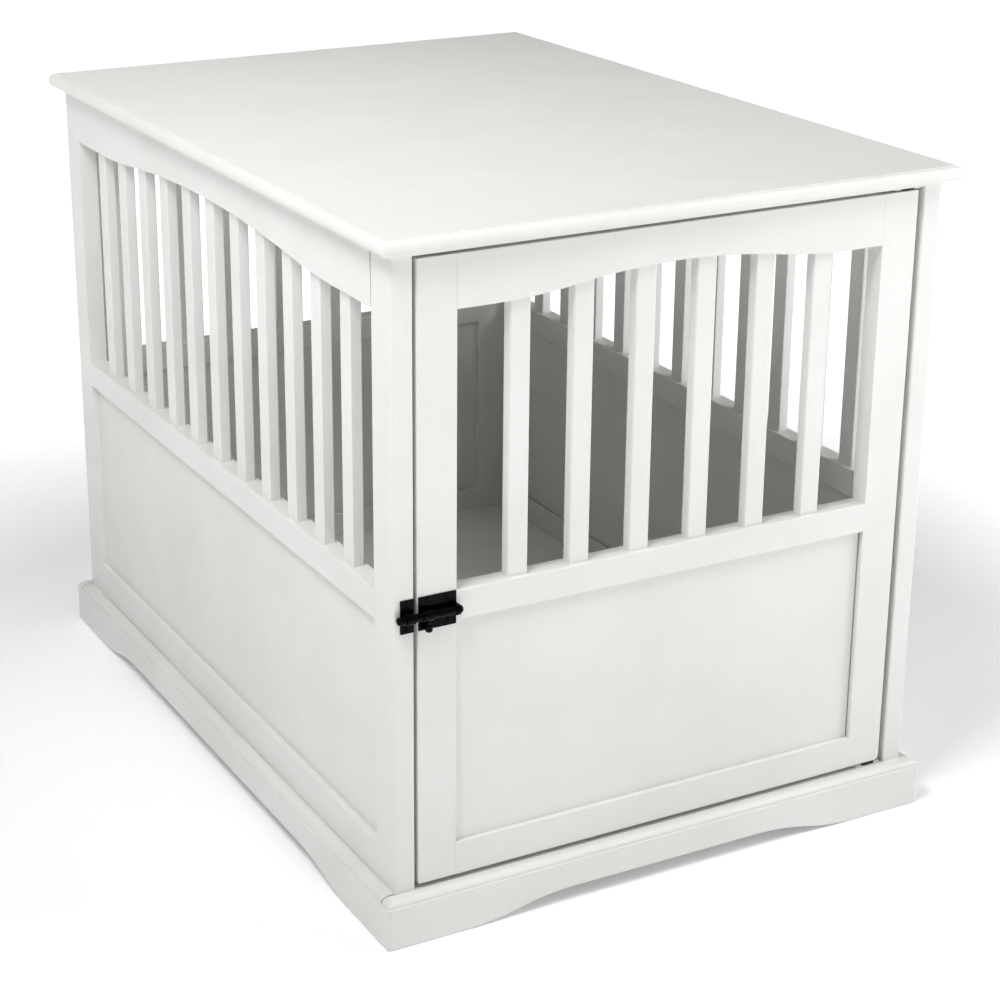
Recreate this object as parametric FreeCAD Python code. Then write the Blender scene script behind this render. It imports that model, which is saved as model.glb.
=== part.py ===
"""Dog crate end table in painted wood: three fixed slatted frames, a slatted door on pivot pins, a moulded
table top, a lapped plinth with shaped feet, a lift-out floor and a small black barrel bolt.

Millimetres. +Z is up, the door faces -Y, and the origin is the middle of the outline at floor level.
Every frame is built in a flat system of its own, u along the frame, v inwards from its outer face and z up,
and is then turned and moved to its side of the table.
"""

import FreeCAD, Part
import os
from math import asin, atan2, cos, sin, sqrt

V = FreeCAD.Vector

# ---------------------------------------------------------------- overall sizes
top_width = 625.0
top_depth = 870.0
table_height = 686.0

# ---------------------------------------------------------------- table top
top_thickness = 19.0
top_overhang = 15.0
top_corner_radius = 5.0
top_edge_radius = 8.0
top_bead_step = 0.8
top_bead_inset = 6.5

# ---------------------------------------------------------------- slatted frames
frame_thickness = 21.0
stile_width = 38.0
mid_rail_top = 348.0
mid_rail_height = 30.0
bottom_rail_top = 88.0
top_rail_height = 53.5
side_arch_rise = 16.5
side_arch_flat = 75.0
side_arch_inflection = 0.3
front_arch_rise = 15.0
front_arch_flat = 34.0
front_arch_inflection = 0.45
slat_width = 21.0
slat_thickness = 12.0
slat_seat = 6.0
side_slat_count = 11
front_slat_count = 6
panel_thickness = 9.0
side_panel_recess = 7.0
front_panel_recess = 5.0
groove_depth = 7.0
rail_tenon_shoulder = 6.0
joint_fit = 0.1
edge_ease = 0.8

# ---------------------------------------------------------------- door
door_stile_width = 40.0
door_gap_latch = 4.0
door_gap_hinge = 7.0
door_gap_bottom = 4.5
door_gap_top = 3.0
door_corner_radius = 5.0

# ---------------------------------------------------------------- plinth and floor
base_height = 49.0
base_thickness = 30.0
base_projection = 15.0
base_face_height = 43.0
base_bead_inset = 1.8
base_bead_height = 1.3
base_moulding_width = 8.0
base_foot_length = 80.0
base_foot_curve = 125.0
base_foot_rise = 15.0
base_corner_radius = 4.5
base_joint_gap = 0.5
floor_thickness = 9.0
floor_side_gap = 0.5
floor_door_gap = 5.0
cleat_width = 20.0
cleat_height = 18.0

# ---------------------------------------------------------------- top cleats, door stop, loose tenons
top_cleat_size = 15.0
stop_length = 60.0
stop_size = 12.0
stop_corner_gap = 6.0
stop_door_gap = 0.5
tenon_thickness = 6.0
tenon_width = 14.0
post_tenon_edge = 8.0
tenon_length = 26.0
back_tenon_heights = (130.0, 332.0, 585.0)

# ---------------------------------------------------------------- door pivots
pivot_inset = 11.5
pivot_pin_radius = 3.95
pivot_pin_length = 15.0
pivot_plate_gap = 0.5
pivot_plate_width = 15.0
pivot_plate_corner = 3.0
pivot_plate_thickness = 2.0
pivot_spigot_length = 10.0
bush_radius = 6.0
bush_bore_radius = 4.0
bush_length = 15.0
bush_fit = 0.05
washer_radius = 7.5
washer_lift = 0.2

# ---------------------------------------------------------------- barrel bolt
bolt_below_rail_top = 15.5
bolt_axis_offset = 6.8
bolt_radius = 4.0
bolt_tip_reach = 6.5
bolt_tail_reach = 3.5
bolt_end_bevel = 1.4
plate_length = 38.0
plate_height = 33.0
plate_thickness = 1.2
plate_edge_gap = 1.0
strap_length = 4.0
strap_wall = 1.2
strap_clearance = 0.06
keeper_length = 13.5
keeper_edge_gap = 0.5
keeper_clearance = 0.3
keeper_loop_length = 9.0
collar_length = 5.0
collar_radius = 5.2
collar_clearance = 0.05
collar_strap_gap = 0.5
knob_reach = 13.0
knob_radius = 3.6
knob_bevel = 0.35
knob_stem_radius = 1.9

# ---------------------------------------------------------------- screws
screw_radius = 1.5
screw_length = 13.0
screw_head_radius = 2.7
screw_head_height = 0.9
screw_hole_fit = 0.1
screw_row_inset = 4.0
plate_screw_inset = 9.0

# ---------------------------------------------------------------- sizes that follow
carcass_width = top_width - 2 * top_overhang
carcass_depth = top_depth - 2 * top_overhang
half_width = carcass_width / 2
half_depth = carcass_depth / 2
underside = table_height - top_thickness
arch_spring = underside - top_rail_height
front_face = -half_depth
inner_half_width = half_width - frame_thickness
mid_rail_bottom = mid_rail_top - mid_rail_height

door_left = -inner_half_width + door_gap_latch
door_right = inner_half_width - door_gap_hinge
door_width = door_right - door_left
door_middle = (door_left + door_right) / 2
door_bottom = base_height + door_gap_bottom
door_top = underside - door_gap_top
door_back = front_face + frame_thickness

pivot_x = door_right - pivot_inset
pivot_y = front_face + frame_thickness / 2

bolt_y = front_face - bolt_axis_offset
bolt_height = mid_rail_top - bolt_below_rail_top
plate_left = door_left + plate_edge_gap
plate_right = plate_left + plate_length
keeper_right = -inner_half_width - keeper_edge_gap
keeper_left = keeper_right - keeper_length
bolt_tip = keeper_left - bolt_tip_reach
bolt_tail = plate_right + bolt_tail_reach
bolt_travel = -inner_half_width + door_gap_latch / 2 - bolt_tip
collar_left = plate_left + strap_length + collar_strap_gap

parts = {}


# ================================================================ small helpers
def block(x0, x1, y0, y1, z0, z1):
    """A box between three pairs of limits."""
    return Part.makeBox(x1 - x0, y1 - y0, z1 - z0, V(x0, y0, z0))


def rod(radius, length, start, direction):
    """A plain round bar."""
    return Part.makeCylinder(radius, length, start, direction)


def edges_along(shape, direction):
    """The straight edges of a shape that run along a direction."""
    found = []
    for edge in shape.Edges:
        ends = edge.Vertexes
        if len(ends) != 2:
            continue
        run = ends[1].Point.sub(ends[0].Point)
        if run.cross(direction).Length < 1e-6 * max(run.Length, 1.0):
            found.append(edge)
    return found


def eased(shape, direction):
    """A bar with the sharpness sanded off its long edges."""
    return shape.makeChamfer(edge_ease, edges_along(shape, direction))


def s_curve(start, end, inflection):
    """Two arcs from start to end, level at both ends, that meet where they change sides.

    With run L and rise R both arcs turn by the same angle a, where tan(a/2) = R/L, and their radii add up
    to L/sin(a). The inflection is the share of the run that the first arc takes.
    """
    run = end.x - start.x
    rise = end.z - start.z
    half = atan2(abs(rise), abs(run))
    first = inflection
    meet = V(start.x + first * run, start.y, start.z + first * rise)
    total = abs(run) / sin(2 * half)
    way = 1 if run > 0 else -1
    lift = 1 if rise > 0 else -1
    r1 = first * total
    r2 = (1 - first) * total
    mid1 = V(start.x + way * r1 * sin(half), start.y, start.z + lift * r1 * (1 - cos(half)))
    mid2 = V(end.x - way * r2 * sin(half), start.y, end.z - lift * r2 * (1 - cos(half)))
    return [Part.Arc(start, mid1, meet).toShape(), Part.Arc(meet, mid2, end).toShape()]


def s_curve_height(distance, run, rise, inflection):
    """Height of the same curve at a distance from its low end."""
    if distance <= 0:
        return 0.0
    if distance >= run:
        return rise
    half = atan2(rise, run)
    total = run / sin(2 * half)
    if distance <= inflection * run:
        radius = inflection * total
        return radius - sqrt(radius * radius - distance * distance)
    radius = (1 - inflection) * total
    left = run - distance
    return rise - (radius - sqrt(radius * radius - left * left))


def prism(edges, depth):
    """A closed outline in the u-z plane, carried through the thickness."""
    return Part.Face(Part.Wire(edges)).extrude(V(0, depth, 0))


def straight(a, b):
    return Part.LineSegment(a, b).toShape()


def screw(seat, into):
    """A screw with a low round head on the seat; its shank goes through the plate and bites into the wood."""
    head = rod(screw_head_radius, screw_head_height, seat, V(into).multiply(-1))
    return head.fuse(rod(screw_radius, screw_length, seat, into)).removeSplitter()


def screw_hole(seat, into, depth):
    """The hole for one screw in a plate."""
    return rod(screw_radius + screw_hole_fit, depth, seat, into)


# ================================================================ slatted frames
def arch_height(u, clear, spring, rise, flat, inflection):
    """Height of the arched lower edge of a top rail at u."""
    half_span = clear / 2 - flat
    return spring + s_curve_height(half_span - abs(u), half_span, rise, inflection)


def top_rail(clear, spring, top, rise, flat, inflection):
    """Rail with level ends and a shallow arch in its lower edge."""
    end = clear / 2
    turn = end - flat
    corners = [V(-end, 0, spring), V(-turn, 0, spring), V(0, 0, spring + rise), V(turn, 0, spring),
               V(end, 0, spring), V(end, 0, top), V(-end, 0, top)]
    outline = [straight(corners[0], corners[1])]
    outline += s_curve(corners[1], corners[2], inflection)
    outline += s_curve(corners[2], corners[3], 1 - inflection)
    outline += [straight(corners[3], corners[4]), straight(corners[4], corners[5]),
                straight(corners[5], corners[6]), straight(corners[6], corners[0])]
    rail = prism(outline, frame_thickness)
    lower = [e for e in rail.Edges
             if e.BoundBox.ZMax < spring + rise + 0.01 and e.BoundBox.YLength < 0.01]
    return rail.makeChamfer(edge_ease, lower)


def slat_positions(clear, count):
    """Middles of equally spaced slats between two stiles."""
    pitch = clear / (count + 1)
    return [-clear / 2 + pitch * (i + 1) for i in range(count)]


def slatted_frame(prefix, names, width, stile, bottom, top, rail_low, count, recess, rise, flat, inflection):
    """Two stiles, three rails, a grooved-in panel below and slats above.

    names are the two stile names, for the low-u and the high-u end. rail_low is the lower edge of the
    bottom rail. Returns the pieces in the flat system, with slats as a list.
    """
    clear = width - 2 * stile
    edge = width / 2
    inner = clear / 2
    tongue_v0 = recess
    tongue_v1 = recess + panel_thickness
    pieces = {}

    tenon = groove_depth - joint_fit
    shoulder = rail_tenon_shoulder

    # rails, each with a tongue at both ends as thick as the panel
    rail = top_rail(clear, arch_spring, top, rise, flat, inflection)
    rail = rail.fuse(block(-inner - tenon, inner + tenon, tongue_v0, tongue_v1,
                           arch_spring + rise + shoulder, top - shoulder))
    slat_v0 = (frame_thickness - slat_thickness) / 2
    slat_v1 = slat_v0 + slat_thickness
    mid = eased(block(-inner, inner, 0, frame_thickness, mid_rail_bottom, mid_rail_top), V(1, 0, 0))
    mid = mid.fuse(block(-inner - tenon, inner + tenon, tongue_v0, tongue_v1,
                         mid_rail_bottom + groove_depth + joint_fit, mid_rail_top - shoulder))
    low = eased(block(-inner, inner, 0, frame_thickness, rail_low, bottom_rail_top), V(1, 0, 0))
    low = low.fuse(block(-inner - tenon, inner + tenon, tongue_v0, tongue_v1,
                         rail_low + shoulder, bottom_rail_top - groove_depth - joint_fit))

    # slats, let into mortises in the two upper rails
    slats = []
    for u in slat_positions(clear, count):
        u0 = u - slat_width / 2
        u1 = u + slat_width / 2
        head = min(arch_height(u0, clear, arch_spring, rise, flat, inflection),
                   arch_height(u1, clear, arch_spring, rise, flat, inflection)) + slat_seat
        foot = mid_rail_top - slat_seat
        slats.append(eased(block(u0, u1, slat_v0, slat_v1, foot, head), V(0, 0, 1)))
        room = (u0 - joint_fit, u1 + joint_fit, slat_v0 - joint_fit, slat_v1 + joint_fit)
        mid = mid.cut(block(*room, foot - joint_fit, mid_rail_top + 1))
        rail = rail.cut(block(*room, arch_spring - 1, head + joint_fit))

    # panel in a groove all round
    groove_v0 = tongue_v0 - joint_fit
    groove_v1 = tongue_v1 + joint_fit
    mid = mid.cut(block(-inner - 1, inner + 1, groove_v0, groove_v1,
                        mid_rail_bottom - 1, mid_rail_bottom + groove_depth))
    low = low.cut(block(-inner - 1, inner + 1, groove_v0, groove_v1,
                        bottom_rail_top - groove_depth, bottom_rail_top + 1))
    panel = block(-inner - tenon, inner + tenon, tongue_v0, tongue_v1,
                  bottom_rail_top - tenon, mid_rail_bottom + tenon)

    # stiles: one groove for the panel and two rails, one mortise for the top rail
    for name, side in zip(names, (-1, 1)):
        u0, u1 = sorted((side * inner, side * edge))
        bar = eased(block(u0, u1, 0, frame_thickness, bottom, top), V(0, 0, 1))
        g0, g1 = sorted((side * (inner - 1), side * (inner + groove_depth)))
        bar = bar.cut(block(g0, g1, groove_v0, groove_v1,
                            rail_low + shoulder - joint_fit, mid_rail_top - shoulder + joint_fit))
        bar = bar.cut(block(g0, g1, groove_v0, groove_v1,
                            arch_spring + rise + shoulder - joint_fit, top - shoulder + joint_fit))
        pieces[f"{prefix}_{name}"] = bar

    pieces[f"{prefix}_top_rail"] = rail
    pieces[f"{prefix}_mid_rail"] = mid
    pieces[f"{prefix}_bottom_rail"] = low
    pieces[f"{prefix}_panel"] = panel
    pieces[f"{prefix}_slats"] = Part.makeCompound(slats)
    return pieces


def stand(pieces, quarter_turns, x, y):
    """Turn the pieces of a frame about the vertical and move its outer face's middle to x, y."""
    for name, shape in pieces.items():
        turned = shape.copy()
        turned.rotate(V(0, 0, 0), V(0, 0, 1), 90 * quarter_turns)
        turned.translate(V(x, y, 0))
        parts[name] = turned


def make_side_frames():
    """Left and right frames run the whole depth, so their end stiles make the corner posts."""
    for prefix, names, turns, x in (("left", ("rear_stile", "front_stile"), 3, -half_width),
                                    ("right", ("front_stile", "rear_stile"), 1, half_width)):
        frame = slatted_frame(prefix, names, carcass_depth, stile_width, base_height, underside,
                              base_height, side_slat_count, side_panel_recess,
                              side_arch_rise, side_arch_flat, side_arch_inflection)
        stand(frame, turns, x, 0)


def make_back_frame():
    """The back frame stands between the two side frames."""
    frame = slatted_frame("back", ("right_stile", "left_stile"), 2 * inner_half_width, stile_width,
                          base_height, underside, base_height, front_slat_count, side_panel_recess,
                          front_arch_rise, front_arch_flat, front_arch_inflection)
    stand(frame, 2, 0, half_depth)


def make_door():
    """The door hangs between the corner posts, with one rounded lower corner on its pivot side."""
    frame = slatted_frame("door", ("left_stile", "right_stile"), door_width, door_stile_width,
                          door_bottom, door_top, door_bottom, front_slat_count, front_panel_recess,
                          front_arch_rise, front_arch_flat, front_arch_inflection)
    stand(frame, 0, door_middle, front_face)
    stile = parts["door_right_stile"]
    corner = V(door_right, front_face, door_bottom)
    notch = block(door_right - door_corner_radius, door_right + 1, front_face - 1, door_back + 1,
                  door_bottom - 1, door_bottom + door_corner_radius)
    heart = corner.add(V(-door_corner_radius, -1, door_corner_radius))
    notch = notch.cut(rod(door_corner_radius, frame_thickness + 2, heart, V(0, 1, 0)))
    stile = stile.cut(notch)
    for z, way in ((door_bottom, 1), (door_top, -1)):
        stile = stile.cut(rod(bush_radius + bush_fit, bush_length + joint_fit,
                              V(pivot_x, pivot_y, z), V(0, 0, way)))
    parts["door_right_stile"] = stile


# ================================================================ table top
def rounded_plan(width, depth, corner, z0, z1):
    """A slab about the origin whose four upright corners are rounded."""
    slab = block(-width / 2, width / 2, -depth / 2, depth / 2, z0, z1)
    return slab.makeFillet(corner, edges_along(slab, V(0, 0, 1)))


def make_top():
    """Slab with a rolled edge that is mitred at the corners, and a fine step where the roll starts."""
    slab_top = table_height - top_bead_step
    slab = rounded_plan(top_width, top_depth, top_corner_radius, underside, slab_top)
    roll = min(top_edge_radius, 0.46 * (top_thickness - top_bead_step))
    blank = block(-top_width / 2, top_width / 2, -top_depth / 2, top_depth / 2, underside, slab_top)
    for direction in (V(1, 0, 0), V(0, 1, 0)):
        slab = slab.common(blank.makeFillet(roll, edges_along(blank, direction)))
    inset = 2 * top_bead_inset
    field_corner = max(top_corner_radius - top_bead_inset, 1.0)
    field = rounded_plan(top_width - inset, top_depth - inset, field_corner, slab_top - 2 * top_bead_step,
                         table_height)
    parts["top_panel"] = slab.fuse(field).removeSplitter()


# ================================================================ plinth and floor
def base_profile(thickness):
    """Section of a plinth board: flat face, a bead line and a rounded shoulder up to the flat top."""
    bead = base_bead_inset
    shoulder = base_face_height + base_bead_height
    out = bead + base_moulding_width
    mid = V(0, bead + 0.29 * base_moulding_width, shoulder + 0.71 * (base_height - shoulder))
    corners = [V(0, 0, 0), V(0, 0, base_face_height), V(0, bead, base_face_height), V(0, bead, shoulder),
               V(0, out, base_height), V(0, thickness, base_height), V(0, thickness, 0)]
    outline = [straight(corners[0], corners[1]), straight(corners[1], corners[2]),
               straight(corners[2], corners[3]), Part.Arc(corners[3], mid, corners[4]).toShape(),
               straight(corners[4], corners[5]), straight(corners[5], corners[6]),
               straight(corners[6], corners[0])]
    return Part.Face(Part.Wire(outline))


def moulding(length, thickness):
    """A straight length of plinth moulding in the flat system, with its middle at u = 0."""
    section = base_profile(thickness)
    section.translate(V(-length / 2, 0, 0))
    return section.extrude(V(length, 0, 0))


def cut_feet(board, half):
    """Shape the lower edge of a board to two feet, for a side of the table that is twice half long."""
    low = half - base_foot_length
    high = low - base_foot_curve
    rise = base_foot_rise
    under = [V(-low, -1, 0), V(-high, -1, rise), V(high, -1, rise), V(low, -1, 0),
             V(low, -1, -1), V(-low, -1, -1)]
    outline = s_curve(under[0], under[1], 0.5) + [straight(under[1], under[2])]
    outline += s_curve(under[2], under[3], 0.5)
    outline += [straight(under[3], under[4]), straight(under[4], under[5]), straight(under[5], under[0])]
    return board.cut(prism(outline, base_thickness + 2))


def cross_board(width):
    """Front or back board: the moulding returns round both ends, which are rebated for the side boards."""
    half = width / 2
    board = moulding(width, base_thickness)
    ends = []
    for side in (-1, 1):
        end = moulding(4 * base_thickness, half)
        end.rotate(V(0, 0, 0), V(0, 0, 1), 90 * side)
        end.translate(V(side * half, 0, 0))
        ends.append(end)
        u0, u1 = sorted((side * (half - base_thickness - base_joint_gap), side * (half + 1)))
        board = board.cut(block(u0, u1, base_projection, base_thickness + 1, -1, base_height + 1))
    return cut_feet(board.common(ends[0].fuse(ends[1])), half)


def make_base():
    """Front and back boards that lap the ends of the side boards; all four carry the frames."""
    wide = carcass_width + 2 * base_projection
    deep = carcass_depth + 2 * base_projection
    plan = rounded_plan(wide, deep, base_corner_radius, 0, base_height)
    side_length = carcass_depth - 2 * base_joint_gap
    for name, turns, x, y in (("base_front", 0, 0, -deep / 2), ("base_back", 2, 0, deep / 2)):
        stand({name: cross_board(wide)}, turns, x, y)
        parts[name] = parts[name].common(plan)
    for name, turns, x in (("base_right", 1, wide / 2), ("base_left", 3, -wide / 2)):
        stand({name: cut_feet(moulding(side_length, base_thickness), deep / 2)}, turns, x, 0)


def make_floor():
    """Cleats inside the plinth, a batten across the middle and the floor panel that lies on them."""
    x1 = half_width + base_projection - base_thickness
    y1 = half_depth + base_projection - base_thickness
    z1 = base_height
    z0 = z1 - cleat_height
    x0 = x1 - cleat_width
    y0 = y1 - cleat_width
    parts["floor_cleat_left"] = block(-x1, -x0, -y1, y1, z0, z1)
    parts["floor_cleat_right"] = block(x0, x1, -y1, y1, z0, z1)
    parts["floor_cleat_front"] = block(-x0, x0, -y1, -y0, z0, z1)
    parts["floor_cleat_back"] = block(-x0, x0, y0, y1, z0, z1)
    parts["floor_batten"] = block(-x0, x0, -cleat_width / 2, cleat_width / 2, z0, z1)
    side = inner_half_width - floor_side_gap
    parts["floor_panel"] = block(-side, side, door_back + floor_door_gap,
                                 half_depth - frame_thickness - floor_side_gap, z1, z1 + floor_thickness)


# ================================================================ cleats and tenons that join the frames
def make_top_cleats():
    """Strips in the angle between the frames and the table top, and the stop that the door closes on."""
    z0 = underside - top_cleat_size
    x1 = inner_half_width
    x0 = x1 - top_cleat_size
    y1 = half_depth - frame_thickness
    y0 = door_back + stop_door_gap + stop_size + stop_corner_gap
    parts["top_cleat_left"] = block(-x1, -x0, y0, y1, z0, underside)
    parts["top_cleat_right"] = block(x0, x1, y0, y1, z0, underside)
    parts["top_cleat_back"] = block(-x0, x0, y1 - top_cleat_size, y1, z0, underside)
    stop_y = door_back + stop_door_gap
    stop_x = door_left + stop_corner_gap
    parts["door_stop"] = block(stop_x, stop_x + stop_length, stop_y, stop_y + stop_size,
                               underside - stop_size, underside)


def make_loose_tenons():
    """Loose tenons between the back frame and the sides, and between the posts and the plinth."""
    tenons = []
    half = tenon_length / 2
    thin = tenon_thickness / 2
    wide = tenon_width / 2
    for side, word in ((-1, "left"), (1, "right")):
        spots = []
        y = half_depth - frame_thickness / 2
        for z in back_tenon_heights:
            nodes = (f"{word}_rear_stile", f"back_{word}_stile")
            spots.append((V(side * inner_half_width, y, z), V(half, thin, wide), nodes))
        x = side * (half_width - frame_thickness / 2)
        for end, post in ((-1, "front"), (1, "rear")):
            nodes = (f"{word}_{post}_stile", f"base_{word}")
            y = end * (half_depth - stile_width + post_tenon_edge + wide)
            spots.append((V(x, y, base_height), V(thin, wide, half), nodes))
        for middle, size, nodes in spots:
            low = middle.sub(size)
            high = middle.add(size)
            tenons.append(block(low.x, high.x, low.y, high.y, low.z, high.z))
            fit = V(joint_fit, joint_fit, joint_fit)
            low = low.sub(fit)
            high = high.add(fit)
            mortise = block(low.x, high.x, low.y, high.y, low.z, high.z)
            for node in nodes:
                parts[node] = parts[node].cut(mortise)
    parts["loose_tenons"] = Part.makeCompound(tenons)


# ================================================================ door pivots
def pivot(z, way):
    """A plate with clipped corners, its pin for the door and its spigot in the wood; way is the pin's side."""
    half = inner_half_width - pivot_plate_gap - pivot_x
    end = pivot_plate_width / 2
    low = min(z, z + way * pivot_plate_thickness)
    plate = block(pivot_x - half, pivot_x + half, pivot_y - end, pivot_y + end, low, low + pivot_plate_thickness)
    plate = plate.makeChamfer(pivot_plate_corner, edges_along(plate, V(0, 0, 1)))
    length = pivot_spigot_length + pivot_plate_thickness + pivot_pin_length
    pin = rod(pivot_pin_radius, length, V(pivot_x, pivot_y, z - way * pivot_spigot_length), V(0, 0, way))
    return plate.fuse(pin).removeSplitter()


def make_pivots():
    """Pivots above and below the door, bushes let into its stile and the washer that it turns on."""
    places = (("lower_pivot", "base_front", base_height, 1), ("upper_pivot", "top_panel", underside, -1))
    for name, wood, z, way in places:
        parts[name] = pivot(z, way)
        depth = pivot_spigot_length + joint_fit
        socket = rod(pivot_pin_radius + bush_fit, depth, V(pivot_x, pivot_y, z), V(0, 0, -way))
        parts[wood] = parts[wood].cut(socket)
    bushes = []
    for z, way in ((door_bottom, 1), (door_top, -1)):
        middle = V(pivot_x, pivot_y, z)
        ring = rod(bush_radius, bush_length, middle, V(0, 0, way))
        bushes.append(ring.cut(rod(bush_bore_radius, bush_length, middle, V(0, 0, way))))
    parts["pivot_bushes"] = Part.makeCompound(bushes)
    z0 = base_height + pivot_plate_thickness
    thick = door_bottom - z0 - washer_lift
    washer = rod(washer_radius, thick, V(pivot_x, pivot_y, z0), V(0, 0, 1))
    parts["pivot_washer"] = washer.cut(rod(bush_bore_radius, thick, V(pivot_x, pivot_y, z0), V(0, 0, 1)))


# ================================================================ barrel bolt
def loop(x0, length, bore):
    """A strap over the bolt: straight legs from the plate and a half-round crown."""
    outer = bore + strap_wall
    base_y = front_face - plate_thickness / 2
    legs = block(x0, x0 + length, bolt_y, base_y, bolt_height - outer, bolt_height + outer)
    crown = rod(outer, length, V(x0, bolt_y, bolt_height), V(1, 0, 0))
    room = block(x0 - 1, x0 + length + 1, bolt_y, base_y + 1, bolt_height - bore, bolt_height + bore)
    hole = rod(bore, length + 2, V(x0 - 1, bolt_y, bolt_height), V(1, 0, 0))
    return legs.fuse(crown).cut(room).cut(hole)


def strap_plate(x0, x1, loops, screw_spots):
    """A plate with its loops and screw holes, and the screws that hold it."""
    z0 = bolt_height - plate_height / 2
    plate = block(x0, x1, front_face - plate_thickness, front_face, z0, z0 + plate_height)
    for loop_x0, length, bore in loops:
        plate = plate.fuse(loop(loop_x0, length, bore))
    plate = plate.removeSplitter()
    screws = []
    for x, z in screw_spots:
        seat = V(x, front_face - plate_thickness, z)
        screws.append(screw(seat, V(0, 1, 0)))
        plate = plate.cut(screw_hole(seat, V(0, 1, 0), plate_thickness))
    return plate, Part.makeCompound(screws)


def make_bolt():
    """Bolt plate on the door, keeper on the post, the sliding bolt and its turning knob."""
    bore = bolt_radius + strap_clearance
    row = plate_height / 2 - screw_row_inset
    rows = (bolt_height - row, bolt_height + row)
    spots = [(x, z) for x in (plate_left + plate_screw_inset, plate_right - plate_screw_inset) for z in rows]
    loops = [(plate_left, strap_length, bore), (plate_right - strap_length, strap_length, bore)]
    parts["bolt_plate"], parts["latch_screws"] = strap_plate(plate_left, plate_right, loops, spots)

    middle = (keeper_left + keeper_right) / 2
    loops = [(middle - keeper_loop_length / 2, keeper_loop_length, bolt_radius + keeper_clearance)]
    parts["bolt_keeper"], parts["keeper_screws"] = strap_plate(
        keeper_left, keeper_right, loops, [(middle, z) for z in rows])

    bar = rod(bolt_radius, bolt_tail - bolt_tip, V(bolt_tip, bolt_y, bolt_height), V(1, 0, 0))
    ends = [e for e in bar.Edges if len(e.Vertexes) == 1]
    parts["bolt_rod"] = bar.makeChamfer(min(bolt_end_bevel, 0.6 * bolt_radius), ends)

    heart = V(collar_left + collar_length / 2, bolt_y, bolt_height)
    collar = rod(collar_radius, collar_length, V(collar_left, bolt_y, bolt_height), V(1, 0, 0))
    stem = rod(knob_stem_radius, knob_reach, heart, V(0, 0, -1))
    knob = rod(knob_radius, 2 * knob_radius, heart.add(V(0, 0, knob_radius - knob_reach)), V(0, 0, -1))
    rims = [e for e in knob.Edges if len(e.Vertexes) == 1]
    knob = knob.makeChamfer(knob_bevel * knob_radius, rims)
    bore = rod(bolt_radius + collar_clearance, collar_length + 2,
               V(collar_left - 1, bolt_y, bolt_height), V(1, 0, 0))
    parts["bolt_knob"] = collar.fuse(stem).fuse(knob).cut(bore).removeSplitter()


def main():
    make_top()
    make_side_frames()
    make_back_frame()
    make_door()
    make_base()
    make_floor()
    make_top_cleats()
    make_loose_tenons()
    make_pivots()
    make_bolt()
    os.makedirs("parts", exist_ok=True)
    for name, shape in parts.items():
        shape.exportStep(f"parts/{name}.step")
    print(len(parts), "nodes; bolt travel", round(bolt_travel, 3), "pivot", round(pivot_x, 3), round(pivot_y, 3))


main()
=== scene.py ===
import math

import bpy
import numpy as np
from bpy.props import FloatProperty, FloatVectorProperty, PointerProperty, StringProperty
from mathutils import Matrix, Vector


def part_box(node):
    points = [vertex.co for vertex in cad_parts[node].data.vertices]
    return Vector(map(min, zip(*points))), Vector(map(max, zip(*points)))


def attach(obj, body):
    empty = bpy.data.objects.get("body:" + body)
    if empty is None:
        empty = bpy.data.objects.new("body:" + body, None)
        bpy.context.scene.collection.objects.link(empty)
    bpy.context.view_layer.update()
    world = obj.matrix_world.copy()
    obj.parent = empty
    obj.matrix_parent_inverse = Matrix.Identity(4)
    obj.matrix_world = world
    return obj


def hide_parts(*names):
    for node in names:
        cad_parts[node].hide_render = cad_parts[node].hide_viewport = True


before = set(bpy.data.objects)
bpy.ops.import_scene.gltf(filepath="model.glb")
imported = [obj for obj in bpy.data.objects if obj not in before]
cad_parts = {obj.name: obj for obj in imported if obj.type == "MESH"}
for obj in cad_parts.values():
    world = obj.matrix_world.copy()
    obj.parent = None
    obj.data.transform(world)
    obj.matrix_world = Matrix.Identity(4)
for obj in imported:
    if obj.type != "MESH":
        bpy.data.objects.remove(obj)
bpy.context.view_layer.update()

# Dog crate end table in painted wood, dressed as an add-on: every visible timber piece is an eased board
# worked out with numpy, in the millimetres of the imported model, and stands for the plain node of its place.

bl_info = {
    "name": "Dog Crate End Table",
    "version": (1, 0, 0),
    "blender": (4, 5, 0),
    "location": "3D View > Sidebar > Crate",
    "description": "Builds a slatted dog crate end table round its packed frame",
    "category": "Object",
}

MM = 0.001

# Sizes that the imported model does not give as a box, in millimetres. An arch rises over its spring line by
# rise, is level for flat beside each stile, and turns from hollow to full at the share turn of its slope.
SIDE_ARCH = {"rise": 16.5, "flat": 75.0, "turn": 0.3}
FRONT_ARCH = {"rise": 15.0, "flat": 34.0, "turn": 0.45}
TOP_RAIL_HEIGHT = 53.5     # at the spring line
SLAT_WIDTH = 21.0
SLAT_SEAT = 6.0            # how far a slat's head is let into the arched rail
SIDE_SLATS = 11
FRONT_SLATS = 6
PLINTH_FACE = 43.0         # height of the plinth's flat face, below its moulding
PLINTH_FOOT = 80.0
PLINTH_CURVE = 125.0       # length of the S-curve beside a foot
PLINTH_RISE = 15.0
BACKING_SLACK = 0.4        # by which a plinth's backing board is smaller, so that its lip hides it

# Limits of the meshes, in millimetres and radians.
LEAST_RADIUS = 0.05
NEAR_AXIS = 0.02           # where the flat end of a turned piece closes
SHARP_CORNER = math.radians(25)
CREASE = math.radians(38)

BARE_STEEL = "#060606"


# ---------------------------------------------------------------- user settings
def length(name, description, millimetres):
    """A length that the user edits in scene units."""
    return FloatProperty(name=name, description=description, default=millimetres * MM, min=0.0,
                         subtype="DISTANCE", unit="LENGTH", precision=5)


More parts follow.
